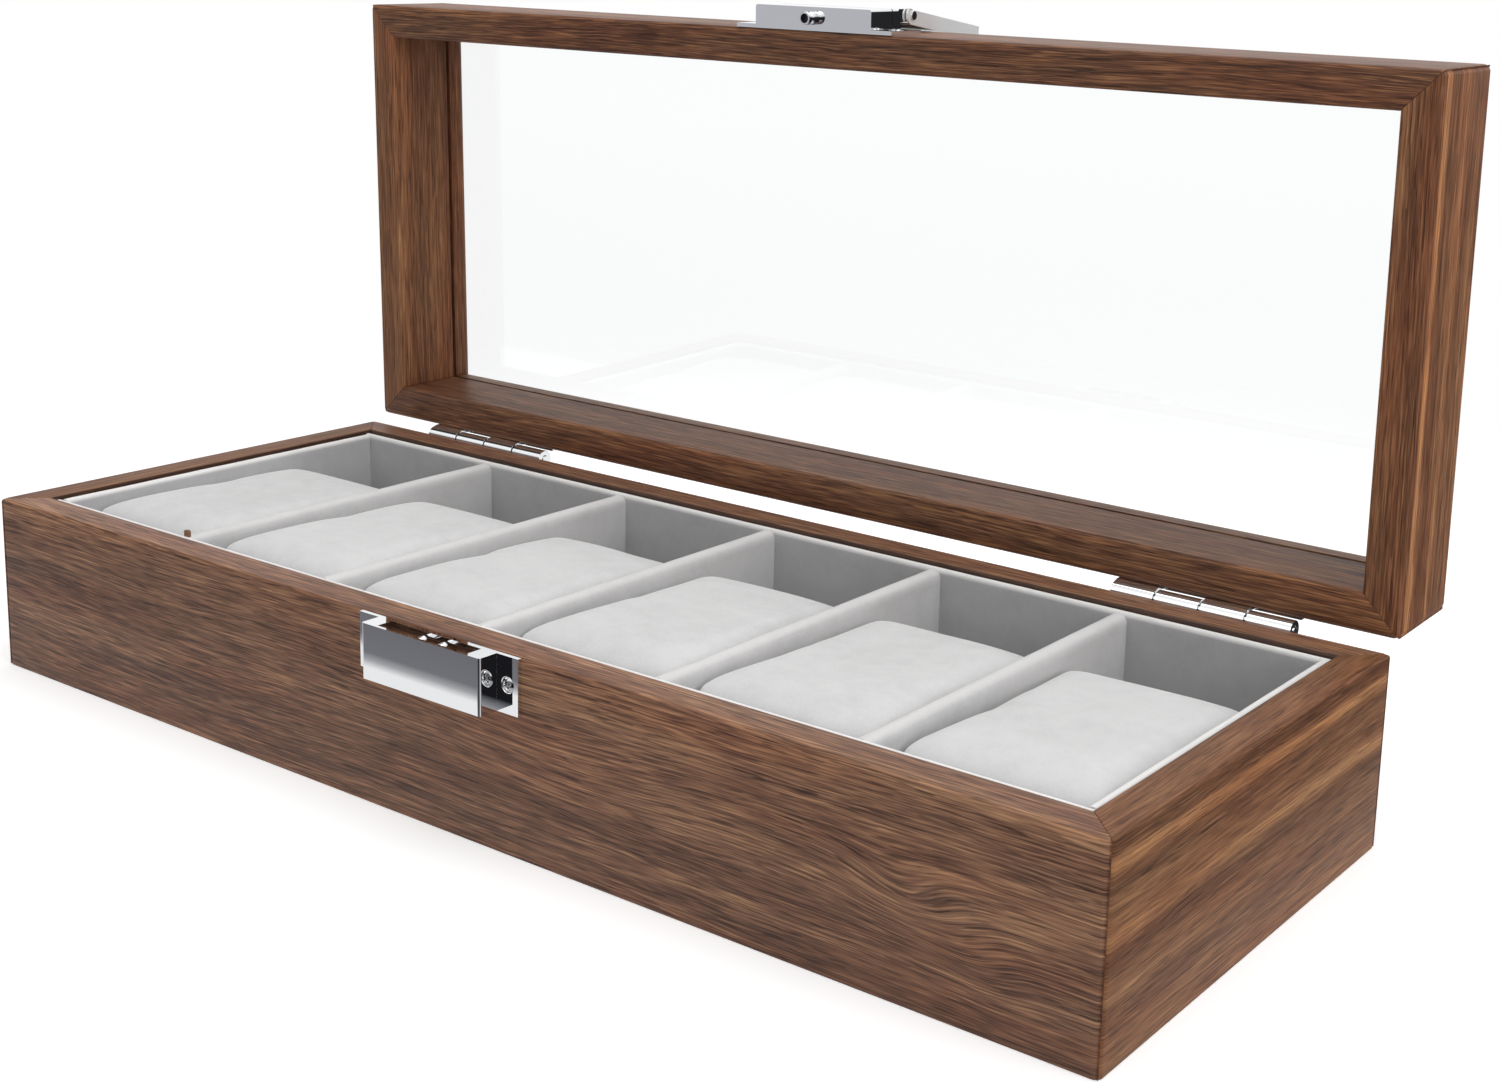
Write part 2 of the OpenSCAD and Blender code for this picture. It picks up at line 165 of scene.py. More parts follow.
def flatNormals(bm):
    # the one normal of every face that lies in a broad flat region
    def level(face):
        return [other for edge in face.edges for other in edge.link_faces
                if not isSound(other) or other.normal.angle(first.normal) < shading["sameFlat"]]

    normalOf, seen = {}, set()
    for first in bm.faces:
        if first in seen or not isSound(first):
            continue
        members = spreadFrom(first, level, seen)
        area = sum(face.calc_area() for face in members)
        corners = [vertex.co for face in members for vertex in face.verts]
        across = first.normal.orthogonal().normalized()
        axes = (across, first.normal.cross(across))
        spans = [max(c.dot(a) for c in corners) - min(c.dot(a) for c in corners) for a in axes]
        if area / math.hypot(*spans) > shading["flatWidth"]:
            normalOf.update((face.index, first.normal.copy()) for face in members)
    return normalOf


def roundNormal(face, vertex, normalOf):
    # a round turns into the flat beside it, or else into the faces that it meets smoothly
    if not isSound(face):
        return vertex.normal
    flats = [normalOf[other.index] for other in vertex.link_faces if other.index in normalOf]
    flats = [flat for flat in flats if flat.angle(face.normal) < shading["flatReach"]]
    if flats:
        return min(flats, key=lambda flat: flat.angle(face.normal))
    smooth = [other for other in vertex.link_faces
              if isSound(other) and other.normal.angle(face.normal) < shading["roundReach"]]
    total = sum((other.normal * other.calc_area() for other in smooth), Vector())
    return total.normalized() if total.length > 0 else vertex.normal


def settleNormals(mesh):
    # broad flat regions keep one exact normal, and the narrow rounds beside them turn into it
    bm = bmesh.new()
    bm.from_mesh(mesh)
    bm.faces.ensure_lookup_table()
    normalOf = flatNormals(bm)
    normals = []
    for face in bm.faces:
        for loop in face.loops:
            normal = normalOf.get(face.index) or roundNormal(face, loop.vert, normalOf)
            normals.append(normal[:])
    bm.free()
    mesh.shade_smooth()
    mesh.normals_split_custom_set(normals)


def filletOutline(corners, steps=5):
    # corners are (x, y, radius); returns the outline with its corners rounded
    points = []
    for index, (x, y, radius) in enumerate(corners):
        here = Vector((x, y))
        before = (Vector(corners[index - 1][:2]) - here).normalized()
        after = (Vector(corners[(index + 1) % len(corners)][:2]) - here).normalized()
        if radius <= 0:
            points.append(here)
            continue
        half = before.angle(after) / 2
        centre = here + (before + after).normalized() * (radius / math.sin(half))
        start = here + before * (radius / math.tan(half)) - centre
        end = here + after * (radius / math.tan(half)) - centre
        sweep = start.angle_signed(end)
        for step in range(steps + 1):
            points.append(centre + Matrix.Rotation(-sweep * step / steps, 2) @ start)
    return points


def insetOutline(points, amount):
    # every point moves into a section that is listed clockwise
    moved = []
    for index, here in enumerate(points):
        before = (here - points[index - 1]).normalized()
        after = (points[(index + 1) % len(points)] - here).normalized()
        along = (before + after).normalized()
        moved.append(here + Vector((along.y, -along.x)) * amount)
    return moved


# node trees

def setInput(tree, slot, value):
    if isinstance(value, bpy.types.NodeSocket):
        tree.links.new(value, slot)
    elif slot.type == "RGBA" and isinstance(value, tuple):
        slot.default_value = (*value, 1)
    else:
        slot.default_value = value


def addNode(tree, kind, inputs=None, **settings):
    made = tree.nodes.new(kind)
    for key, value in settings.items():
        setattr(made, key, value)
    for name, value in (inputs or {}).items():
        setInput(tree, made.inputs[name], value)
    return made


def output(tree, kind, inputs=None, **settings):
    return addNode(tree, kind, inputs, **settings).outputs[0]


def mathNode(tree, operation, first, second=None, clamp=False):
    inputs = {0: first} if second is None else {0: first, 1: second}
    return output(tree, "ShaderNodeMath", inputs, operation=operation, use_clamp=clamp)


def arithmetic(tree):
    return [partial(mathNode, tree, rule) for rule in ("ADD", "SUBTRACT", "MULTIPLY", "DIVIDE")]


def noiseAt(tree, vector, scale, detail, roughness):
    return output(tree, "ShaderNodeTexNoise", {
        "Vector": vector, "Scale": scale, "Detail": detail, "Roughness": roughness})


def mapRange(tree, value, fromMin, fromMax, toMin=0.0, toMax=1.0, curve="SMOOTHSTEP"):
    return output(tree, "ShaderNodeMapRange", {
        "Value": value, "From Min": fromMin, "From Max": fromMax, "To Min": toMin, "To Max": toMax},
        interpolation_type=curve)


def rampOf(tree, factor, stops):
    made = addNode(tree, "ShaderNodeValToRGB", {"Fac": factor})
    ramp = made.color_ramp
    while len(ramp.elements) < len(stops):
        ramp.elements.new(0.5)
    for element, (place, colour) in zip(ramp.elements, stops):
        element.position = place
        element.color = (*colour, 1)
    return made.outputs["Color"]


def mixColour(tree, factor, first, second, blend="MIX"):
    made = addNode(tree, "ShaderNodeMix", data_type="RGBA", blend_type=blend)
    slots = {slot.identifier: slot for slot in made.inputs}
    for name, value in (("Factor_Float", factor), ("A_Color", first), ("B_Color", second)):
        setInput(tree, slots[name], value)
    return next(slot for slot in made.outputs if slot.identifier == "Result_Color")


def mixShaders(tree, factor, first, second):
    return output(tree, "ShaderNodeMixShader", {0: factor, 1: first, 2: second})


def addBump(tree, shader, height, strength, distance):
    bump = output(tree, "ShaderNodeBump", {"Strength": strength, "Distance": distance, "Height": height})
    setInput(tree, shader.inputs["Normal"], bump)


def newMaterial(name, inputs=None):
    material = bpy.data.materials.new(name)
    material.use_nodes = True
    tree = material.node_tree
    shader = tree.nodes["Principled BSDF"]
    for key, value in (inputs or {}).items():
        setInput(tree, shader.inputs[key], value)
    return material, tree, shader


def objectPlace(tree):
    return addNode(tree, "ShaderNodeTexCoord").outputs["Object"]


def combine(tree, **parts):
    return output(tree, "ShaderNodeCombineXYZ", parts)


def splitVector(tree, vector):
    return addNode(tree, "ShaderNodeSeparateXYZ", {0: vector}).outputs


def srgb(red, green, blue):
    # display values from 0 to 255 as linear colour
    def linear(value):
        value /= 255
        return value / 12.92 if value <= 0.04045 else ((value + 0.055) / 1.055) ** 2.4
    return linear(red), linear(green), linear(blue)


def grey(level, blue=None):
    return level, level, level if blue is None else blue


# materials

# noise layers of the printed grain: length and width in millimetres, detail, roughness, seed shift
grainLayers = {
    "wave": (120, 26, 1, 0.5, 3.1),
    "ripple": (13, 3.2, 2, 0.5, 7.7),
    "broad": (210, 7.5, 2, 0.5, 11.3),
    "streak": (60, 1.25, 3, 0.62, 19.9),
    "hair": (15, 0.42, 2, 0.7, 27.1),
    "pore": (8.5, 0.45, 1, 0.5, 33.7),
    "fleck": (13, 0.5, 1, 0.5, 41.9),
    "redness": (70, 9, 2, 0.5, 51.3),
}
wood = {
    "tones": (
        (0.05, (68, 46, 37)), (0.33, (96, 69, 55)), (0.50, (117, 84, 66)), (0.68, (140, 104, 80)),
        (0.95, (180, 139, 104))),
    "bandWeight": 1.5, "stripeWeight": 1.25, "poreTone": srgb(50, 30, 23),
    "poreStops": ((0.58, grey(0)), (0.63, grey(1))), "poreThinning": ((0.34, grey(1)), (0.68, grey(0.3))),
    "fleckTone": srgb(172, 126, 94), "fleckStops": ((0.60, grey(0)), (0.68, grey(1))), "fleckShare": 0.42,
    # the inner tone is a painted shade at the inner edge of the boards, beside the lining
    "redTone": srgb(150, 84, 64), "innerShadeTone": srgb(34, 20, 15), "innerShadeShare": 0.85, "innerShadeSpread": (0.3, 0.1),
    "mitreTone": srgb(86, 40, 28), "mitreShare": 0.75, "roughness": (0.54, 0.40), "hairHeight": 0.5,
    "poreHeight": 0.9, "bump": (0.4, 0.07 * mm),
}


def walnutMaterial(name, look):
    # a printed walnut wrap: grainMap holds (along, around, seed) in millimetres
    material, tree, shader = newMaterial(name, {"Specular IOR Level": look["gloss"]})
    calc, mix, ramp = partial(mathNode, tree), partial(mixColour, tree), partial(rampOf, tree)
    plus, minus, times, over = arithmetic(tree)
    grain = addNode(tree, "ShaderNodeAttribute", attribute_name="grainMap").outputs["Vector"]
    along, around, seed = splitVector(tree, grain)

    def layer(kind, line=around):
        length, width, detail, roughness, shift = grainLayers[kind]
        place = combine(tree, X=over(along, length), Y=over(line, width), Z=plus(seed, shift))
        return noiseAt(tree, place, 1.0, detail, roughness)

    def centred(value, amount):
        return times(minus(value, 0.5), amount)

    wave = centred(layer("wave"), look["wave"])
    ripple = centred(layer("ripple"), look["ripple"])
    line = plus(around, plus(wave, ripple))
    for eyeAlong, eyeAround, length, width, slant, rise in look.get("eyes", ()):
        # a rise in the field closes the lines into an eye of cathedral grain
        offAlong = minus(along, eyeAlong)
        offAround = minus(minus(around, eyeAround), times(offAlong, slant))
        away = plus(calc("POWER", over(offAlong, length), 2), calc("POWER", over(offAround, width), 2))
        line = plus(line, times(calc("EXPONENT", times(away, -1)), rise))

    streak, hair = layer("streak", line), layer("hair", line)
    bands = centred(layer("broad", line), wood["bandWeight"] * look["bands"])
    level = plus(bands, centred(streak, look["streaks"]))
    level = plus(level, centred(hair, look["hairs"]))
    if "stripes" in look:
        # lighter and darker boards of the print, at heights round the profile
        farthest = look["stripes"][-1][0]
        stops = [(place / farthest, grey(shade)) for place, shade in look["stripes"]]
        stripes = ramp(over(plus(around, wave), farthest), stops)
        level = plus(level, centred(stripes, wood["stripeWeight"]))
    tone = ramp(plus(level, 0.5), [
        (place, tuple(channel * look["depth"] * tint for channel, tint in zip(srgb(*colour), look["tint"])))
        for place, colour in wood["tones"]])
    poreMask = times(ramp(layer("pore", line), wood["poreStops"]), ramp(streak, wood["poreThinning"]))
    tone = mix(times(poreMask, look["pores"]), tone, wood["poreTone"])
    fleckMask = ramp(layer("fleck", line), wood["fleckStops"])
    tone = mix(times(fleckMask, wood["fleckShare"]), tone, wood["fleckTone"])
    redder = centred(layer("redness"), 1.0)
    tone = mix(plus(redder, look["red"], clamp=True), tone, wood["redTone"], "SOFT_LIGHT")
    if "shadedInnerEdge" in look:
        # painted shade: the inner edge and the inner face are darkened for the shadow beside the lining
        before, past = wood["innerShadeSpread"]
        start, end = look["shadedInnerEdge"] - before, look["shadedInnerEdge"] + past
        innerShadeMask = mapRange(tree, around, start, end, toMax=wood["innerShadeShare"], curve="LINEAR")
        tone = mix(innerShadeMask, tone, wood["innerShadeTone"])
    # the crack of a mitre shows the reddish board below the wrap
    crack = addNode(tree, "ShaderNodeAttribute", attribute_name="jointLine").outputs["Fac"]
    tone = mix(times(crack, wood["mitreShare"]), tone, wood["mitreTone"])
    setInput(tree, shader.inputs["Base Color"], tone)
    setInput(tree, shader.inputs["Roughness"], mapRange(tree, hair, 0.0, 1.0, *wood["roughness"], curve="LINEAR"))
    height = minus(times(hair, wood["hairHeight"]), times(poreMask, wood["poreHeight"]))
    addBump(tree, shader, height, *wood["bump"])
    return material


velvet = {
    "pile": (2600, 2, 0.7), "nap": (190, 3, 0.62), "sweep": (34, 2, 0.5), "layerWeight": 0.1,
    "shades": (0.86, 1.1), "stops": (0.09, 0.15, 0.22), "foldAndSheenTone": (0.93, 0.91, 0.89), "foldAndSheenWidth": 1.1 * mm,
    "pileHeight": 0.6, "bump": (0.35, 0.12 * mm),
}


def velvetMaterial(name, colour, foldAndSheenTop=None, foldAndSheenShare=0.95):
    material, tree, shader = newMaterial(name, {
        "Roughness": 0.95, "Specular IOR Level": 0.15, "Sheen Weight": 0.35, "Sheen Roughness": 0.45})
    plus, _, times, _ = arithmetic(tree)
    place = objectPlace(tree)
    pile, nap, sweep = (noiseAt(tree, place, *velvet[layer]) for layer in ("pile", "nap", "sweep"))
    light = times(plus(pile, plus(nap, sweep)), velvet["layerWeight"])
    dark, bright = (tuple(min(1.0, channel * shade) for channel in colour) for shade in velvet["shades"])
    tone = rampOf(tree, light, list(zip(velvet["stops"], (dark, colour, bright))))
    # the top edge is painted lighter: partly the pile parted at the fold, partly a painted highlight of the sheen
    if foldAndSheenTop:
        height, start = splitVector(tree, place)["Z"], foldAndSheenTop - velvet["foldAndSheenWidth"]
        edge = mapRange(tree, height, start, foldAndSheenTop, toMax=foldAndSheenShare, curve="LINEAR")
        tone = mixColour(tree, edge, tone, velvet["foldAndSheenTone"])
    setInput(tree, shader.inputs["Base Color"], tone)
    height = plus(times(pile, velvet["pileHeight"]), nap)
    addBump(tree, shader, height, *velvet["bump"])
    return material


metal = {"haze": (900, 3, 0.6), "dents": (240, 1, 0.5), "hazeRange": (0.7, 1.4), "bump": (0.04, 0.02 * mm)}


def chromeMaterial(name, colour, roughness, metallic=1.0):
    material, tree, shader = newMaterial(name, {"Base Color": colour, "Metallic": metallic})
    place = objectPlace(tree)
    least, most = (roughness * share for share in metal["hazeRange"])
    rough = mapRange(tree, noiseAt(tree, place, *metal["haze"]), 0.0, 1.0, least, most, "LINEAR")
    setInput(tree, shader.inputs["Roughness"], rough)
    addBump(tree, shader, noiseAt(tree, place, *metal["dents"]), *metal["bump"])
    return material


def boardMaterial():
    material, tree, shader = newMaterial("bareBoard", {"Roughness": 0.85})
    chips = noiseAt(tree, objectPlace(tree), 900, 4, 0.7)
    tones = ((0.35, srgb(104, 74, 52)), (0.5, srgb(132, 98, 70)), (0.66, srgb(160, 124, 92)))
    setInput(tree, shader.inputs["Base Color"], rampOf(tree, chips, tones))
    addBump(tree, shader, chips, 0.4, 0.1 * mm)
    return material


# an eye is (along, around, length, width, slant, rise), and a stripe is (place round the profile, shade)
walnutLooks = {
    "walnutFront": {
        "pores": 0.80, "bands": 0.42, "streaks": 0.66, "hairs": 1.75, "wave": 5, "ripple": 0.55,
        "depth": 1.09, "red": 0.10, "tint": (1.0, 0.98, 0.965), "gloss": 0.28, "shadedInnerEdge": 52.3,
        "stripes": ((0, 0.50), (37, 0.50), (40, 0.55), (43, 0.64), (46, 0.58), (53, 0.58), (57, 0.50), (70, 0.50)),
        "eyes": ((119, 21, 12, 7, -0.15, 3.6), (134, 14, 9, 5, -0.2, 2.2), (30, 24, 30, 8, -0.03, 2.0))},
    "walnutSide": {
        "pores": 0.55, "bands": 0.25, "streaks": 0.40, "hairs": 0.95, "wave": 4, "ripple": 0.4,
        "depth": 1.14, "red": 0.14, "tint": (1.0, 0.95, 0.77), "gloss": 0.12, "shadedInnerEdge": 52.3,
        "stripes": (
            (0, 0.56), (6, 0.54), (10, 0.46), (14, 0.54), (18, 0.48), (21.5, 0.34), (23, 0.46), (26, 0.72),
            (28, 0.54), (33, 0.50), (36.5, 0.42), (38, 0.60), (40, 0.82), (41.5, 0.52), (43.5, 0.36),
            (46, 0.54), (56, 0.50), (70, 0.50))},
    "walnutLid": {
        "pores": 0.74, "bands": 0.42, "streaks": 0.74, "hairs": 1.75, "wave": 4, "ripple": 0.5,
        "depth": 0.99, "red": 0.30, "tint": (1.0, 0.95, 0.80), "gloss": 0.28},
    "walnutLidSide": {
        "pores": 0.6, "bands": 0.42, "streaks": 0.6, "hairs": 1.3, "wave": 3, "ripple": 0.4,
        "depth": 1.34, "red": 0.25, "tint": (1.0, 0.925, 0.74), "gloss": 0.18,
        "stripes": (
            (0, 0.44), (1.8, 0.50), (3.2, 0.74), (4.8, 0.68), (6, 0.50), (8, 0.42), (9, 0.56), (10, 0.44),
            (12, 0.58), (13, 0.46), (15, 0.60), (17, 0.46), (20, 0.40), (28, 0.50), (60, 0.50))},
}
walnuts = {name: walnutMaterial(name, look) for name, look in walnutLooks.items()}
# painted shade: the lining and the dividers take darker copies of the pillows' velvet, for the shade down in the
# compartments
shadedVelvetLining = velvetMaterial("shadedVelvetLining", srgb(187, 186, 187), nodeBox("front_lining")[1].z)
shadedVelvetDivider = velvetMaterial("shadedVelvetDivider", srgb(199, 198, 198), nodeBox("divider_1")[1].z, 0.42)
velvetPillow = velvetMaterial("velvetPillow", srgb(217, 217, 217))
chrome = chromeMaterial("polishedChrome", (0.86, 0.87, 0.885), 0.014)
screwSteel = chromeMaterial("screwSteel", (0.46, 0.46, 0.47), 0.10)
# a dark steel that paints the shade in the bore of the stud
boreShadeSteel = chromeMaterial("boreShadeSteel", (0.05, 0.05, 0.055), 0.4, 0.6)
satinChrome = chromeMaterial("satinChrome", (0.92, 0.92, 0.92), 0.35, 0.35)
clearPane = newMaterial("clearPane", {
    "Base Color": (0.985, 1.0, 0.995), "Transmission Weight": 1.0, "Roughness": 0.0, "IOR": 1.45})[0]
bareBoard = boardMaterial()
print("materials ready")


# mitred boards in a printed wrap

def mitredBoard(name, run, corners, place, seed, material, body, nodeName):
    # the section runs inwards and up; its outer corner follows the rounded corner of the case
    cornerRound, groove, half = case["cornerRound"], case["jointGroove"], run / 2
    outline = filletOutline(corners)
    shrunk = insetOutline(outline, groove)
    count = len(outline)
    travel = [0.0]
    for first, second in zip(outline, outline[1:] + outline[:1]):
        travel.append(travel[-1] + (second - first).length)
    straight = [("straight", 2 * step / case["runSteps"] - 1) for step in range(case["runSteps"] + 1)]
    end = [("arc", (step + 1) / case["cornerSteps"]) for step in range(case["cornerSteps"])] + [("joint", 1.0)]
    rings = [(kind, -value) for kind, value in reversed(end)] + straight + end

    def pointAt(kind, value, index):
        inward, up = (shrunk if kind == "joint" else outline)[index]
        side, share = math.copysign(1, value), abs(value)
        if kind == "straight":
            return value * (half - max(inward, cornerRound) - cornerRound * (inward > cornerRound)), inward, up
        if kind == "joint":
            return side * (half - inward), inward, up
        if inward >= cornerRound:
            return side * (half - inward - cornerRound * (1 - share) - groove * share), inward, up
        turn, reach = share * math.pi / 4, cornerRound - inward
        along = half - cornerRound + reach * math.sin(turn)
        return side * (along - groove * share), cornerRound - reach * math.cos(turn), up

    points = [[pointAt(*ring, index) for index in range(count)] for ring in rings]
    faces, grain, joint = [], [], []
    for ring in range(len(rings) - 1):
        for index in range(count):
            quad = ((ring, index), (ring, index + 1), (ring + 1, index + 1), (ring + 1, index))
            faces.append(tuple(r * count + i % count for r, i in quad))
            for r, i in quad:
                grain += [points[r][i % count][0] / mm, travel[i] / mm, seed]
                joint.append(float(rings[r][0] == "joint"))
    for ring in (0, len(rings) - 1):
        faces.append(tuple(ring * count + index for index in range(count)))
        for index in range(count):
            grain += [0.0, travel[index] / mm, seed]
            joint.append(1.0)
    mesh = bpy.data.meshes.new(name)
    mesh.from_pydata([tuple(place @ Vector(point)) for ring in points for point in ring], [], faces)
    mesh.attributes.new("grainMap", "FLOAT_VECTOR", "CORNER").data.foreach_set("vector", grain)
    mesh.attributes.new("jointLine", "FLOAT", "CORNER").data.foreach_set("value", joint)
    finishMesh(mesh, 30)
    coat(mesh, material)
    addPiece(name, mesh, body, "walnut", nodeName)


rabbet = case["wall"] - case["rabbetDepth"]
baseSection = [
    (0, 0, case["footRound"]), (0, case["height"], case["edgeRound"]),
    (case["wall"], case["height"], case["edgeRound"]), (case["wall"], case["bottomThickness"], 0),
    (rabbet, case["bottomThickness"], 0), (rabbet, 0, 0),
]
paneGroove = case["wall"] - lid["grooveDepth"]
lidSection = [
    (0, 0, case["edgeRound"]), (0, lid["height"], lid["outerRound"]),
    (case["wall"], lid["height"], lid["bezelRound"]), (case["wall"], lid["grooveHigh"], 0),
    (paneGroove, lid["grooveHigh"], 0), (paneGroove, lid["grooveLow"], 0),
    (case["wall"], lid["grooveLow"], 0), (case["wall"], 0, case["edgeRound"]),
]
closedLid = Matrix.Translation((0, 0, case["height"] + lid["seam"]))
# a side is (turn, seed of its grain)
boards = {
    "front": (0, 2.0), "back": (math.pi, 14.0), "left": (-math.pi / 2, 27.0), "right": (math.pi / 2, 41.0),
}
lidSeedShift = 5
for side, (turn, seed) in boards.items():
    long = side in ("front", "back")
    run, depth = (case["length"], case["depth"]) if long else (case["depth"], case["length"])
    sidePlace = Matrix.Rotation(turn, 4, "Z") @ Matrix.Translation((0, -depth / 2, 0))
    lidPlace = openLid @ closedLid @ sidePlace
    wrap, lidWrap = ("walnutFront", "walnutLid") if long else ("walnutSide", "walnutLidSide")
    mitredBoard(
        f"baseBoard.{side}", run, baseSection, sidePlace, seed, walnuts[wrap], "base", f"base_{side}_board")
    mitredBoard(
        f"lidRail.{side}", run, lidSection, lidPlace, seed + lidSeedShift, walnuts[lidWrap], "lid",
        f"lid_{side}_rail")
coat(frame["nodes"]["bottom_panel"].data, bareBoard)
print("case and lid boards ready")


# velvet boards

def newGroup(name, sockets):
    tree = bpy.data.node_groups.new(name, "GeometryNodeTree")
    for kind, names in sockets.items():
        for socketName in names:
            tree.interface.new_socket(name=socketName, in_out="INPUT", socket_type=kind)
    tree.interface.new_socket(name="Geometry", in_out="OUTPUT", socket_type="NodeSocketGeometry")
    return tree, tree.nodes.new("NodeGroupInput").outputs


def endGroup(tree, geometry, material):
    addNode(tree, "NodeGroupOutput", {
        0: output(tree, "GeometryNodeSetMaterial", {"Geometry": geometry, "Material": material})})
    return tree


def growMesh(name, tree, values, points=()):
    # runs a node tree once and keeps its result as a plain mesh
    seedMesh = bpy.data.meshes.new(name + "Holder")
    seedMesh.from_pydata([tuple(point) for point in points], [], [])
    holder = linkObject(name + "Holder", seedMesh)
    modifier = holder.modifiers.new("grow", "NODES")
    modifier.node_group = tree
    identifiers = {item.name: item.identifier for item in tree.interface.items_tree if item.in_out == "INPUT"}
    for key, value in values.items():
        modifier[identifiers[key]] = value
    bpy.context.view_layer.update()
    mesh = evaluatedMesh(holder)
    mesh.name = name
    bpy.data.objects.remove(holder)
    return mesh


lining = {
    "softness": 0.25 * mm, "rounding": 0.9 * mm, "floorRounding": 0.5 * mm, "dividerRounding": 2.0 * mm,
    "runPoints": 90, "sectionPoints": 110, "cornerPoints": 6, "wobbleScale": 55.0, "wobbleLevel": 0.62,
}


def velvetBoardTree():
    # boards of one rounded section, set side by side along Y and running along X
    tree, given = newGroup("velvetBoards", {
        "NodeSocketFloat": ("Run", "Thickness", "Height", "Rounding", "Softness", "Seed", "Pitch"),
        "NodeSocketInt": ("Count",), "NodeSocketMaterial": ("Velvet",)})
    make = partial(output, tree)
    _, minus, times, _ = arithmetic(tree)
    halfRun = times(given["Run"], 0.5)
    start = combine(tree, X=times(halfRun, -1.0))
    end = combine(tree, X=halfRun)
    path = make("GeometryNodeCurvePrimitiveLine", {"Start": start, "End": end})
    path = make("GeometryNodeResampleCurve", {"Curve": path, "Count": lining["runPoints"]})
    section = make("GeometryNodeCurvePrimitiveQuadrilateral", {
        "Width": given["Thickness"], "Height": given["Height"]})
    section = make("GeometryNodeFilletCurve", {
        "Curve": section, "Count": lining["cornerPoints"], "Radius": given["Rounding"], "Limit Radius": True},
        mode="POLY")
    section = make("GeometryNodeResampleCurve", {"Curve": section, "Count": lining["sectionPoints"]})
    board = make("GeometryNodeCurveToMesh", {"Curve": path, "Profile Curve": section, "Fill Caps": True})
    step = combine(tree, Y=given["Pitch"])
    row = make("GeometryNodeMeshLine", {"Count": given["Count"], "Offset": step})
    placed = make("GeometryNodeInstanceOnPoints", {"Points": row, "Instance": board})
    real = make("GeometryNodeRealizeInstances", {"Geometry": placed})
    wobble = {"W": given["Seed"], "Scale": lining["wobbleScale"], "Detail": 2.0}
    wobble = make("ShaderNodeTexNoise", wobble, noise_dimensions="4D")
    amount = times(minus(wobble, lining["wobbleLevel"]), given["Softness"])
    push = make("ShaderNodeVectorMath", {0: make("GeometryNodeInputNormal"), "Scale": amount}, operation="SCALE")
    soft = make("GeometryNodeSetPosition", {"Geometry": real, "Offset": push})
    return endGroup(tree, soft, given["Velvet"])


velvetTree = velvetBoardTree()


def velvetBoards(name, nodeNames, along, seed, rounding, pitch=0.0, material=shadedVelvetLining):
    low, high = nodeBox(nodeNames[0])
    size = high - low
    run, thickness = (size.x, size.y) if along == "X" else (size.y, size.x)
    mesh = growMesh(name, velvetTree, {
        "Run": run, "Thickness": thickness, "Height": size.z, "Rounding": rounding,
        "Softness": lining["softness"], "Seed": seed, "Count": len(nodeNames), "Pitch": pitch,
        "Velvet": material})
    turn = Matrix.Identity(4) if along == "X" else Matrix.Rotation(-math.pi / 2, 4, "Z")
    mesh.transform(Matrix.Translation((low + high) / 2) @ turn)
    finishMesh(mesh, 50)
    addPiece(name, mesh, "base", "velvet_lining", *nodeNames)


for seed, (side, along) in enumerate((("front", "X"), ("back", "X"), ("left", "Y"), ("right", "Y")), 1):
    velvetBoards(f"lining.{side}", [f"{side}_lining"], along, float(seed), lining["rounding"])
dividerNames = [f"divider_{index}" for index in range(1, 6)]
dividerPitch = nodeBox("divider_2")[0].x - nodeBox("divider_1")[0].x
velvetBoards("dividers", dividerNames, "Y", 5.0, lining["dividerRounding"], dividerPitch, shadedVelvetDivider)
velvetBoards("lining.floor", ["floor_lining"], "X", 6.0, lining["floorRounding"])

core = {
    "width": 1.6 * mm, "depth": 0.8 * mm, "height": 6 * mm, "above": 1.5 * mm, "round": 0.4 * mm,
    "gap": 0.02 * mm,
}

# the bare board of the first divider shows at its front end, where the velvet stops short
low, high = nodeBox("divider_1")
middle, half, edge = (low.x + high.x) / 2, core["width"] / 2, core["round"]
start, top = nodeBox("front_lining")[1].y, high.z + core["above"]
bottom = top - core["height"]
outline = filletOutline([(-half, top, edge), (half, top, edge), (half, bottom, 0), (-half, bottom, 0)])
ends = [[(middle + p.x, y, p.y) for p in outline] for y in (start + core["gap"], start + core["depth"])]
mesh = prismMesh("divider.core", *ends, 40)
coat(mesh, bareBoard)
addPiece("divider.core", mesh, "base", "bottom_board")
print("velvet boards ready")


# pillows

pillow = {
    "voxel": 2.6 * mm, "startInset": 0.4 * mm, "endRound": 9 * mm, "backRound": 5 * mm, "roundSteps": 8,
    "frontInset": 3 * mm, "frontRise": 2.6 * mm, "backDrop": 2.0 * mm, "floorRoom": 0.1 * mm,
    "sideRoom": 0.2 * mm, "swellCap": 1.1 * mm, "crown": 1.1 * mm, "crownAcross": 2.6, "crownAlong": 5,
    "lump": 0.35 * mm, "lumpScale": 55, "seamInset": 3.2 * mm, "seamDepth": 0.35 * mm, "seamWidth": 0.7 * mm,
    "lumpPhase": 4.7, "seamHeight": 0.45, "seamReach": 0.8,
}
stuffing = {
    "frames": 16, "pressure": 4.0, "pressureSpread": 0.06, "pressurePhase": 2.3,
    "cover": {
        "quality": 5, "mass": 0.2, "use_pressure": True, "tension_stiffness": 12, "compression_stiffness": 12,
        "bending_stiffness": 0.5},
}


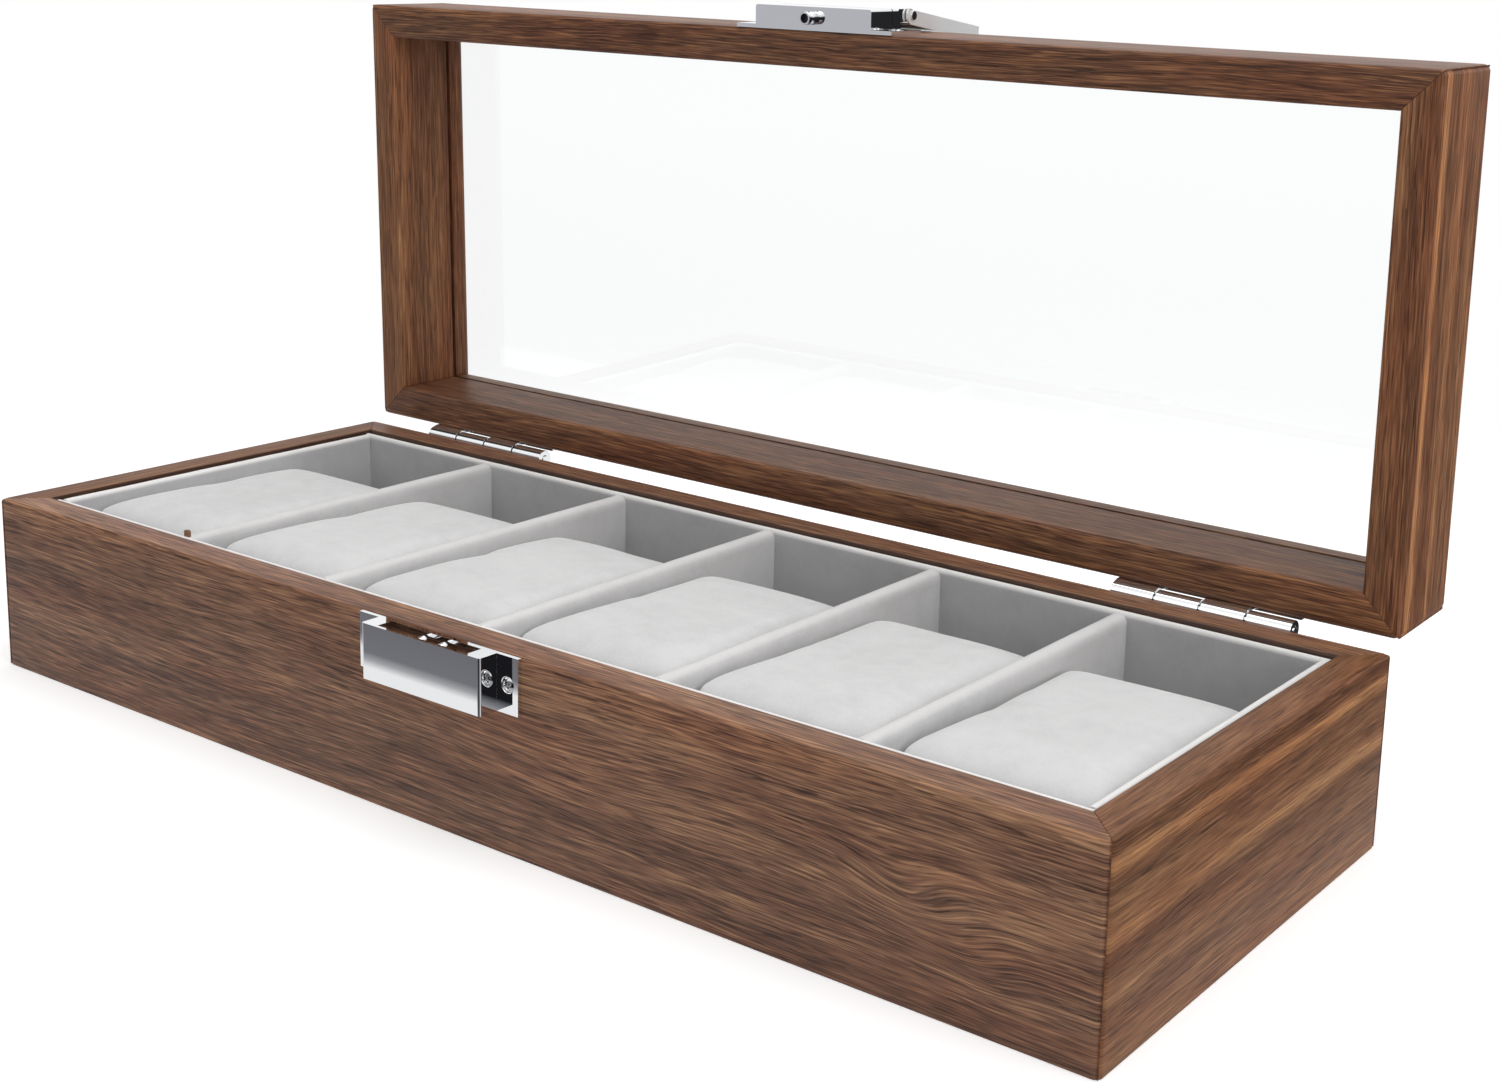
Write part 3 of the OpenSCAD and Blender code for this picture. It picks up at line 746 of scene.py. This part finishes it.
def pillowBlank(name, low, high):
    # a loaf: rounder at the front than at the back, with its sides along the slot
    inset = pillow["startInset"]
    width = (high.x - low.x) / 2 - inset
    depth = (high.y - low.y) / 2 - inset
    tall = (high.z - low.z) / 2 - inset
    front = -depth + pillow["frontInset"]
    end, back = pillow["endRound"], pillow["backRound"]
    corners = [(front, -tall, end), (depth, -tall, end), (depth, tall, back), (front, tall, end)]
    outline = filletOutline(corners, pillow["roundSteps"])
    ends = [[(x, p.x, p.y) for p in outline] for x in (-width, width)]
    return prismMesh(name, *ends), Vector((width, depth, tall))


def applyModifiers(piece):
    mesh = evaluatedMesh(piece)
    piece.modifiers.clear()
    piece.data = mesh


def blowUp(piece, index):
    # the cover is blown up for a few frames, each pillow a little more or less
    cloth = piece.modifiers.new("cloth", "CLOTH")
    for key, value in stuffing["cover"].items():
        setattr(cloth.settings, key, value)
    uneven = 1 + stuffing["pressureSpread"] * math.sin(index * stuffing["pressurePhase"])
    cloth.settings.uniform_pressure_force = stuffing["pressure"] * uneven
    cloth.settings.effector_weights.gravity = 0
    cloth.point_cache.frame_start = 1
    cloth.point_cache.frame_end = stuffing["frames"]
    for step in range(1, stuffing["frames"] + 1):
        bpy.context.scene.frame_set(step)
    applyModifiers(piece)
    bpy.context.scene.frame_set(1)


def settlePoint(place, half, index):
    # stuffing crowns the top, most of all near the front, and the side seams draw in a little
    across, length = place.x / half.x, place.y / half.y
    crown = (1 - min(1, abs(across)) ** pillow["crownAcross"]) * (1 - min(1, abs(length)) ** pillow["crownAlong"])
    rise = pillow["frontRise"] * (1 - length) / 2 - pillow["backDrop"]
    if place.z > 0:
        place.z += (pillow["crown"] * crown + rise) * place.z / half.z
    spot = Vector((place.x * pillow["lumpScale"], place.y * pillow["lumpScale"], index * pillow["lumpPhase"]))
    place.z += noise.noise(spot) * pillow["lump"] * max(0, place.z / half.z)
    seam = abs(abs(place.x) - (half.x - pillow["seamInset"]))
    dip = pillow["seamDepth"] * math.exp(-(seam / pillow["seamWidth"]) ** 2)
    radial = Vector((0, place.y, place.z)).normalized()
    if abs(place.z) > half.z * pillow["seamHeight"] or abs(place.y) > half.y * pillow["seamReach"]:
        place -= radial * dip
    side = half.x + pillow["sideRoom"]
    place.x = max(-side, min(side, place.x))
    place.z = max(pillow["floorRoom"] - half.z, min(half.z + pillow["crown"] + rise, place.z))
    place.y = max(-half.y, place.y)
    return place


def stuffedPillow(index):
    low, high = nodeBox(f"pillow_{index}")
    middle, half = (low + high) / 2, (high - low) / 2
    mesh, blank = pillowBlank(f"pillow.{index}", low, high)
    piece = linkObject(f"pillow.{index}", mesh)
    remesh = piece.modifiers.new("remesh", "REMESH")
    remesh.mode = "VOXEL"
    remesh.voxel_size = pillow["voxel"]
    applyModifiers(piece)
    start = [v.co.copy() for v in piece.data.vertices]
    blowUp(piece, index)
    for vertex, origin in zip(piece.data.vertices, start):
        moved = vertex.co - origin
        if moved.length > pillow["swellCap"]:
            moved *= pillow["swellCap"] / moved.length
        place = origin + moved
        vertex.co = settlePoint(place, half, index) + middle
    subdivision = piece.modifiers.new("subdivision", "SUBSURF")
    subdivision.levels = subdivision.render_levels = 1
    applyModifiers(piece)
    piece.data.shade_smooth()
    coat(piece.data, velvetPillow)
    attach(piece, f"pillow_{index}")
    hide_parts(f"pillow_{index}")


for index in range(1, 7):
    stuffedPillow(index)
print("pillows ready")


# polished metal

def bevelSharp(bm, sharp, edge, segments):
    bmesh.ops.bevel(
        bm, geom=sharp, offset=edge, offset_type="OFFSET", segments=segments, profile=0.5, affect="EDGES",
        clamp_overlap=True)


def dressedCopy(nodeName, name, body, edge, material, segments=2, minimumLength=0.7 * mm, angle=32):
    # a merged copy of a solid whose long sharp edges get a fine round
    mesh = frame["nodes"][nodeName].data.copy()
    mesh.name = name
    bm = bmesh.new()
    bm.from_mesh(mesh)
    bmesh.ops.remove_doubles(bm, verts=bm.verts, dist=weld)
    bmesh.ops.dissolve_limit(bm, angle_limit=math.radians(1), verts=bm.verts, edges=bm.edges)
    bevelSharp(bm, [
        e for e in bm.edges if len(e.link_faces) == 2 and e.calc_length() > minimumLength
        and e.calc_face_angle(0) > math.radians(angle)], edge, segments)
    bmesh.ops.triangulate(bm, faces=[f for f in bm.faces if len(f.verts) > 4])
    bm.to_mesh(mesh)
    bm.free()
    coat(mesh, material)
    settleNormals(mesh)
    return addPiece(name, mesh, body, "chrome", nodeName)


def paintBoreShade(piece, share=0.74):
    # painted shade: the faces of the blind bore of the stud take a dark steel, for the shade in the hole
    low, high = spanOf(vertex.co for vertex in piece.data.vertices)
    middle, radius = (low + high) / 2, (high.x - low.x) / 2
    axis = (lidTurn @ Vector((0, 0, 1))).normalized()
    piece.data.materials.append(boreShadeSteel)
    for face in piece.data.polygons:
        offset = face.center - middle
        if (offset - axis * offset.dot(axis)).length < radius * share:
            face.material_index = 1


dressedCopy("keeper_housing", "latch.keeper", "base", 0.32 * mm, chrome, 3)
dressedCopy("keeper_clip", "latch.clip", "base", 0.08 * mm, chrome, 1)
dressedCopy("latch_housing", "latch.block", "lid", 0.26 * mm, chrome, 3)
paintBoreShade(dressedCopy("latch_stud", "latch.stud", "lid", 0.06 * mm, chrome, 1, 0.05 * mm, 60))
dressedCopy("cover_pin", "latch.pin", "lid", 0.08 * mm, chrome, 1, 0.05 * mm, 60)
dressedCopy("latch_cover", "latch.cover", "latch_cover", 0.12 * mm, satinChrome)

# the curls are (first angle, turn, steps), and the neck and the throat are (back, up) from the back of the leaf
hinge = {
    "knuckles": 4, "barrel": 2.4 * mm, "bore": 1.05 * mm, "back": 2.7 * mm, "thickness": 1.0 * mm,
    "gap": 0.5 * mm, "notch": 2.85 * mm, "width": 14 * mm, "plateCorner": 1.0 * mm, "edge": 0.1 * mm,
    "sharp": math.radians(50), "outerCurl": (172, -308, 44), "innerCurl": (-136, 330, 30),
    "neck": ((0, -1.1 * mm), (0.06 * mm, -0.5 * mm)),
    "throat": ((1.25 * mm, -1.15 * mm), (1.0 * mm, -1.7 * mm)),
}


def curlPoints(radius, first, turn, steps):
    angles = (math.radians(first + turn * step / steps) for step in range(steps + 1))
    return [(radius * math.cos(angle), radius * math.sin(angle)) for angle in angles]


def leafSection():
    # a sheet that rises on the wood, wraps the pin and stops short of itself; y is backwards, z is up
    back = -hinge["back"]
    return [(back, -hinge["notch"]), *((back + y, z) for y, z in hinge["neck"]),
            *curlPoints(hinge["barrel"], *hinge["outerCurl"]), *curlPoints(hinge["bore"], *hinge["innerCurl"]),
            *((back + y, z) for y, z in hinge["throat"]), (back + hinge["thickness"], -hinge["notch"])]


def rolledLeaf(name, nodeName, body, first, axis, run, turn):
    # every second knuckle is rolled from the sheet, and the sheet steps back from the others
    pitch = run / hinge["knuckles"]
    bm = bmesh.new()
    for index in range(first, hinge["knuckles"], 2):
        start = -run / 2 + index * pitch + hinge["gap"] / 2
        addPrism(bm, *([(x, y, z) for y, z in leafSection()] for x in (start, start + pitch - hinge["gap"])))
    corner, width = hinge["plateCorner"], hinge["width"]
    half, top, back = run / 2, -hinge["notch"], -hinge["back"]
    plate = filletOutline([(-half, top, 0), (half, top, 0), (half, -width, corner), (-half, -width, corner)], 4)
    addPrism(bm, *([(p.x, y, p.y) for p in plate] for y in (back, back + hinge["thickness"])))
    bmesh.ops.recalc_face_normals(bm, faces=bm.faces)
    bevelSharp(bm, [e for e in bm.edges if e.calc_face_angle(0) > hinge["sharp"]], hinge["edge"], 2)
    if body == "lid":
        bmesh.ops.scale(bm, vec=(1, 1, -1), verts=bm.verts)
    bmesh.ops.recalc_face_normals(bm, faces=bm.faces)
    mesh = bpy.data.meshes.new(name)
    bm.to_mesh(mesh)
    bm.free()
    mesh.transform(turn @ Matrix.Translation(axis))
    settleNormals(mesh)
    coat(mesh, chrome)
    addPiece(name, mesh, body, "chrome", nodeName)


for side in ("left", "right"):
    low, high = nodeBox(f"hinge_{side}_pin")
    axis = Vector(((low.x + high.x) / 2, lidPivot.y, lidPivot.z))
    run = high.x - low.x
    for body, first, turn in (("base", 1, Matrix.Identity(4)), ("lid", 0, openLid)):
        rolledLeaf(f"hinge.{side}.{body}Leaf", f"hinge_{side}_{body}_leaf", body, first, axis, run, turn)
    dressedCopy(f"hinge_{side}_pin", f"hinge.{side}.pin", "base", 0.15 * mm, chrome, 2, 0.02 * mm, 60)
print("hinges ready")

screw = {
    "Head Radius": 1.9 * mm, "Rim": 0.35 * mm, "Dome": 0.75 * mm, "Slot Width": 0.42 * mm,
    "Slot Reach": 1.25 * mm, "Slot Depth": 0.7 * mm, "Shank Radius": 1.0 * mm, "Shank Length": 4.5 * mm,
}
screwHead = {
    "sides": 56, "rings": 14, "shankSides": 20, "domePower": 2.4, "slotSide": 0.22 * mm, "slotEnd": 0.5 * mm,
    "spin": 3.1,
}


def screwTree():
    # cross-headed screws on the given points, heads towards +Z before they are turned
    tree, given = newGroup("crossHeadScrews", {
        "NodeSocketGeometry": ("Places",), "NodeSocketFloat": tuple(screw), "NodeSocketVector": ("Facing",),
        "NodeSocketInt": ("Seed",), "NodeSocketMaterial": ("Metal",)})
    make, calc = partial(output, tree), partial(mathNode, tree)
    plus, minus, times, over = arithmetic(tree)
    head = make("GeometryNodeMeshCylinder", {
        "Vertices": screwHead["sides"], "Side Segments": 1, "Fill Segments": screwHead["rings"],
        "Radius": given["Head Radius"], "Depth": given["Rim"]})
    across, upward, level = splitVector(tree, make("GeometryNodeInputPosition"))
    radial = calc("SQRT", plus(times(across, across), times(upward, upward)))
    fall = calc("POWER", over(radial, given["Head Radius"]), screwHead["domePower"])
    domed = times(given["Dome"], minus(1.0, fall))

    def slotMask(thin, long):
        side = over(minus(given["Slot Width"], calc("ABSOLUTE", thin)), screwHead["slotSide"])
        end = over(minus(given["Slot Reach"], calc("ABSOLUTE", long)), screwHead["slotEnd"])
        side = calc("SMOOTH_MIN", 1.0, calc("MAXIMUM", 0.0, side))
        return times(side, calc("MINIMUM", 1.0, calc("MAXIMUM", 0.0, end)))

    cross = calc("MAXIMUM", slotMask(across, upward), slotMask(upward, across))
    lift = minus(domed, times(cross, given["Slot Depth"]))
    raised = combine(tree, Z=times(lift, calc("GREATER_THAN", level, 0.0)))
    head = make("GeometryNodeSetPosition", {"Geometry": head, "Offset": raised})
    shank = make("GeometryNodeMeshCylinder", {
        "Vertices": screwHead["shankSides"], "Radius": given["Shank Radius"], "Depth": given["Shank Length"]})
    drop = combine(tree, Z=times(given["Shank Length"], -0.5))
    shank = make("GeometryNodeTransform", {"Geometry": shank, "Translation": drop})
    both = addNode(tree, "GeometryNodeJoinGeometry", {0: head})
    tree.links.new(shank, both.inputs[0])
    spin = {"Seed": given["Seed"], 3: screwHead["spin"]}
    spin = addNode(tree, "FunctionNodeRandomValue", spin, data_type="FLOAT").outputs[1]
    own = make("FunctionNodeEulerToRotation", {0: combine(tree, Z=spin)})
    faced = make("FunctionNodeAlignRotationToVector", {"Vector": given["Facing"]}, axis="Z")
    total = make("FunctionNodeRotateRotation", {"Rotation": faced, "Rotate By": own}, rotation_space="LOCAL")
    placed = make("GeometryNodeInstanceOnPoints", {
        "Points": given["Places"], "Instance": both.outputs[0], "Rotation": total})
    return endGroup(tree, make("GeometryNodeRealizeInstances", {"Geometry": placed}), given["Metal"])


def screwPlaces(nodeName, facing):
    # the highest point of each screw of a node along its facing, over the middle of its head
    def joined(vertex):
        return [edge.other_vert(vertex) for edge in vertex.link_edges]

    bm = bmesh.new()
    bm.from_mesh(frame["nodes"][nodeName].data)
    bmesh.ops.remove_doubles(bm, verts=bm.verts, dist=weld)
    places, seen = [], set()
    for vertex in bm.verts:
        if vertex in seen:
            continue
        island = [member.co.copy() for member in spreadFrom(vertex, joined, seen)]
        low, high = spanOf(island)
        middle = (low + high) / 2
        crest = max(point.dot(facing) for point in island)
        places.append(middle + facing * (crest - middle.dot(facing)))
    bm.free()
    return places


crossHead = screwTree()
screwSets = [("keeper_screws", "base", -1), ("latch_screws", "lid", -1)]
screwSets += [(f"hinge_{side}_{body}_screws", body, 1) for side in ("left", "right") for body in ("base", "lid")]
for seed, (nodeName, body, backwards) in enumerate(screwSets, 3):
    facing = Vector((0, backwards, 0))
    if body == "lid":
        facing = lidTurn @ facing
    name = nodeName.replace("_", ".")
    places = [place - facing * (screw["Dome"] + screw["Rim"] / 2) for place in screwPlaces(nodeName, facing)]
    metalHere = chrome if "hinge" in nodeName else screwSteel
    mesh = growMesh(name, crossHead, {**screw, "Facing": facing[:], "Seed": seed, "Metal": metalHere}, places)
    finishMesh(mesh, 45)
    addPiece(name, mesh, body, "chrome", nodeName)
print("screws ready")

coat(frame["nodes"]["lid_glass"].data, clearPane)
print("metal and pane ready")


# camera, light and floor

view = {
    "place": Vector((306.8, -340.52, 184.95)) * mm, "turn": math.radians(34.842), "dip": math.radians(11.844),
    "roll": math.radians(1.98), "focalPixels": 2039.0, "centrePixels": (888.8, 386.0),
    "imagePixels": (1500, 1087), "sensor": 36.0, "nearest": 0.01,
}
imageWidth, imageHeight = view["imagePixels"]
camera = bpy.data.cameras.new("camera")
camera.sensor_width = view["sensor"]
camera.sensor_fit = "HORIZONTAL"
camera.lens = view["focalPixels"] * view["sensor"] / imageWidth
camera.shift_x = (imageWidth / 2 - view["centrePixels"][0]) / imageWidth
camera.shift_y = (view["centrePixels"][1] - imageHeight / 2) / imageWidth
camera.clip_start = view["nearest"]
turn, dip, roll = view["turn"], view["dip"], view["roll"]
forward = Vector((-math.sin(turn) * math.cos(dip), math.cos(turn) * math.cos(dip), -math.sin(dip)))
right = forward.cross(Vector((0, 0, 1))).normalized()
up = right.cross(forward)
rolledRight = right * math.cos(roll) + up * math.sin(roll)
rolledUp = up * math.cos(roll) - right * math.sin(roll)
axes = Matrix((rolledRight, rolledUp, -forward)).transposed().to_4x4()
made = linkObject("camera", camera)
made.matrix_world = Matrix.Translation(view["place"]) @ axes
bpy.context.scene.camera = made

# a lamp is (place, aim, size, power)
lamps = {
    "topSoftbox": ((0.1, 0.15, 1.5), (0, 0, 0.05), (1.8, 1.8), 17),
    "rightSoftbox": ((1.5, -0.25, 0.75), (0, 0, 0.06), (1.2, 1.0), 10),
    "frontFill": ((-0.5, -1.6, 0.9), (0, 0, 0.05), (1.4, 1.0), 3),
}
for name, (place, aim, size, power) in lamps.items():
    light = bpy.data.lights.new(name, "AREA")
    light.shape = "RECTANGLE"
    light.size, light.size_y = size
    light.energy = power
    made = linkObject(name, light)
    made.location = place
    made.rotation_euler = (Vector(aim) - Vector(place)).to_track_quat("-Z", "Y").to_euler()

studio = {
    "floorHalf": 30.0, "floorTone": grey(0.86), "floorLift": 0.42, "whiteFrom": 0.22, "whiteAt": 0.5,
    "openSide": (
        (0.0, grey(0.95)), (0.130, grey(0.92)), (0.134, grey(0.19, 0.205)), (0.20, grey(0.10, 0.11)),
        (0.40, grey(0.22, 0.24)), (0.9, grey(0.50, 0.53))),
    "darkSide": (
        (0.0, grey(0.95)), (0.115, grey(0.60, 0.62)), (0.125, grey(0.012, 0.014)), (0.9, grey(0.02, 0.022))),
    "darkSideFrom": (-0.02, 0.06), "farRight": grey(0.02, 0.022), "farRightFrom": (0.165, 0.19),
    "ambient": 0.30, "risen": (0.10, 0.42), "behind": (-0.12, 0.08), "rightward": (0.40, 0.50),
    "overhead": ((0.18, grey(1)), (0.24, grey(0)), (0.82, grey(0)), (0.86, grey(1))), "room": grey(0.03, 0.034),
}
half = studio["floorHalf"]
floorMesh = bpy.data.meshes.new("floor")
floorMesh.from_pydata([(-half, -half, 0), (half, -half, 0), (half, half, 0), (-half, half, 0)], [], [(0, 1, 2, 3)])
floor = linkObject("floor", floorMesh)


def seenDirectly(tree, path):
    return mathNode(tree, "MAXIMUM", path["Is Camera Ray"], path["Is Transmission Ray"])


def studioMaterial():
    # the floor is white to the camera, and grades to grey in reflections past the edge of the table
    material, tree, shader = newMaterial("paleFloor", {
        "Base Color": studio["floorTone"], "Roughness": 0.9, "Specular IOR Level": 0.0})
    path = addNode(tree, "ShaderNodeLightPath").outputs
    place = objectPlace(tree)
    white = output(tree, "ShaderNodeEmission", {"Strength": 1.0})
    lift = output(tree, "ShaderNodeEmission", {"Strength": studio["floorLift"]})
    lifted = output(tree, "ShaderNodeAddShader", {0: shader.outputs[0], 1: lift})
    reach = addNode(tree, "ShaderNodeVectorMath", {0: place}, operation="LENGTH").outputs["Value"]
    shown = mixShaders(tree, mapRange(tree, reach, studio["whiteFrom"], studio["whiteAt"]), lifted, white)
    aside, backwards, _ = splitVector(tree, place)
    away = mathNode(tree, "MULTIPLY", backwards, -1.0)
    left, right = (rampOf(tree, away, studio[side]) for side in ("openSide", "darkSide"))
    mirrorTone = mixColour(tree, mapRange(tree, aside, *studio["darkSideFrom"]), left, right)
    mirrorTone = mixColour(tree, mapRange(tree, aside, *studio["farRightFrom"]), mirrorTone, studio["farRight"])
    mirrored = output(tree, "ShaderNodeEmission", {"Color": mirrorTone})
    unseen = mixShaders(tree, path["Is Glossy Ray"], shader.outputs[0], mirrored)
    surface = mixShaders(tree, seenDirectly(tree, path), unseen, shown)
    setInput(tree, tree.nodes["Material Output"].inputs["Surface"], surface)
    return material


def studioWorld():
    # what polished metal mirrors: a white ceiling and backdrop, and a dark room in front
    world = bpy.data.worlds.new("studio")
    world.use_nodes = True
    tree = world.node_tree
    path = addNode(tree, "ShaderNodeLightPath").outputs
    ambient = tree.nodes["Background"]
    setInput(tree, ambient.inputs["Color"], grey(1))
    setInput(tree, ambient.inputs["Strength"], studio["ambient"])
    backdrop = output(tree, "ShaderNodeBackground", {"Color": grey(1), "Strength": 1.0})
    plain = mixShaders(tree, seenDirectly(tree, path), ambient.outputs[0], backdrop)
    aside, backwards, upwards = splitVector(tree, addNode(tree, "ShaderNodeTexCoord").outputs["Generated"])
    risen = mapRange(tree, upwards, *studio["risen"])
    behind = mapRange(tree, backwards, *studio["behind"])
    leftward = mapRange(tree, aside, *studio["rightward"], 1.0, 0.0)
    lit = mathNode(tree, "MAXIMUM", risen, mathNode(tree, "MULTIPLY", behind, leftward))
    overhead = rampOf(tree, mathNode(tree, "ADD", backwards, 0.5), studio["overhead"])
    lit = mathNode(tree, "MULTIPLY", lit, overhead)
    tone = rampOf(tree, lit, ((0.0, studio["room"]), (1.0, grey(1))))
    mirrored = output(tree, "ShaderNodeBackground", {"Color": tone})
    surface = mixShaders(tree, path["Is Glossy Ray"], plain, mirrored)
    setInput(tree, tree.nodes["World Output"].inputs["Surface"], surface)
    return world


floorMesh.materials.append(studioMaterial())
bpy.context.scene.world = studioWorld()
bpy.context.scene.view_settings.view_transform = "Standard"
print("camera and light ready")
